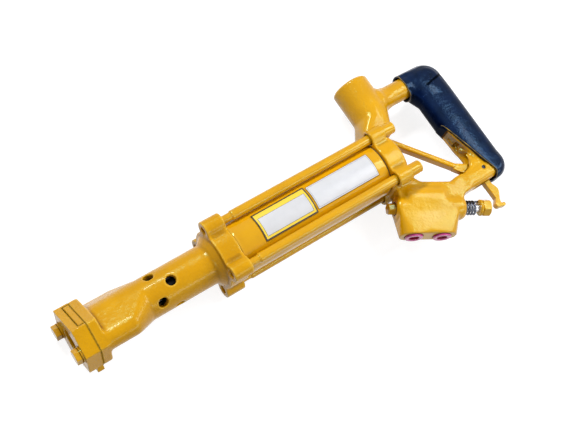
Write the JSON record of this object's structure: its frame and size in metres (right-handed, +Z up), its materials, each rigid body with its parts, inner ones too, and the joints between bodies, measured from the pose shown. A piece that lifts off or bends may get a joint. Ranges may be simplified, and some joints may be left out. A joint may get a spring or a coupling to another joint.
{
  "type": "hydraulic chipping hammer",
  "caption": "Hand held hydraulic chipping hammer: round-shank chisel nose with sliding latch, tie-rod cylinder, D handle with trigger lever, spool valve and plugged ports.",
  "frame": {"origin": "mouth of the chisel bushing, on the tool's axis where the foot meets the retainer plate", "axes": "+X along the tool from the chisel end to the handle, +Y towards the accumulator, +Z up with the tool lying on its side"},
  "size_m": [0.595, 0.2376, 0.082],
  "materials": {
    "painted": "glossy yellow orange enamel over castings",
    "steel": "ground",
    "seals": "matt",
    "grip": "dark navy dipped cover, soft sheen",
    "spring": "dark oiled wire",
    "plugs": "crimson",
    "labels": "plain white, unprinted"
  },
  "bodies": {
    "housing": {"foot_casting": "painted", "chisel_bushing": "steel", "retainer_plate": "painted", "nose_bolts": "painted", "nose_washers": "painted", "tie_rods": "painted", "cylinder_tube": "painted", "front_body_seal": "seals", "rear_gasket": "seals", "rod_guide": "steel", "wiper_seal": "seals", "rod_seal": "seals", "flow_sleeve": "steel", "valve_body": "steel", "valve_cap": "steel", "handle_casting": "painted", "accumulator_bladder": "seals", "accumulator_cap": "painted", "cap_seal": "seals", "charge_valve": "steel", "handle_grip": "grip", "pivot_pin": "steel", "spool_gland": "steel", "gland_seal": "seals", "spool_spring": "spring", "spool_end_plug": "painted", "front_label_plate": "labels", "rear_label_plate": "labels"},
    "latch": {"latch_bar": "painted"},
    "piston": {"piston": "steel"},
    "automatic_valve": {"automatic_valve": "steel", "push_pins": "steel"},
    "trigger": {"trigger": "painted"},
    "spool": {"valve_spool": "steel", "spool_knob": "painted"},
    "pressure_plug": {"pressure_plug": "plugs"},
    "return_plug": {"return_plug": "plugs"}
  },
  "joints": [
    {"name": "latch_slide", "type": "slide", "parent": "housing", "child": "latch", "axis": [0, 0.7071, 0.7071], "range_m": [0, 0.012]},
    {"name": "piston_slide", "type": "slide", "parent": "housing", "child": "piston", "axis": [1, 0, 0], "range_m": [0, 0.028]},
    {"name": "automatic_valve_slide", "type": "slide", "parent": "housing", "child": "automatic_valve", "axis": [1, 0, 0], "range_m": [0, 0.005]},
    {"name": "trigger_swing", "type": "hinge", "parent": "housing", "child": "trigger", "pos_m": [0.5335, -0.07, 0], "axis": [0, 0, -1], "range_deg": [0, 19], "stiffness_Nm_per_rad": 1.2, "springref_deg": -17.19},
    {"name": "spool_slide", "type": "slide", "parent": "housing", "child": "spool", "axis": [-0.8788, 0.4772, 0], "range_m": [0, 0.009], "deforming": ["spool_spring"]},
    {"name": "pressure_plug_pull", "type": "slide", "parent": "housing", "child": "pressure_plug", "axis": [-0.4772, -0.8788, 0], "range_m": [0, 0.04]},
    {"name": "return_plug_pull", "type": "slide", "parent": "housing", "child": "return_plug", "axis": [-0.4772, -0.8788, 0], "range_m": [0, 0.04]}
  ],
  "couplings": [
    {"joint": "spool_slide", "follows": "trigger_swing", "m_per_rad": 0.02714}
  ]
}
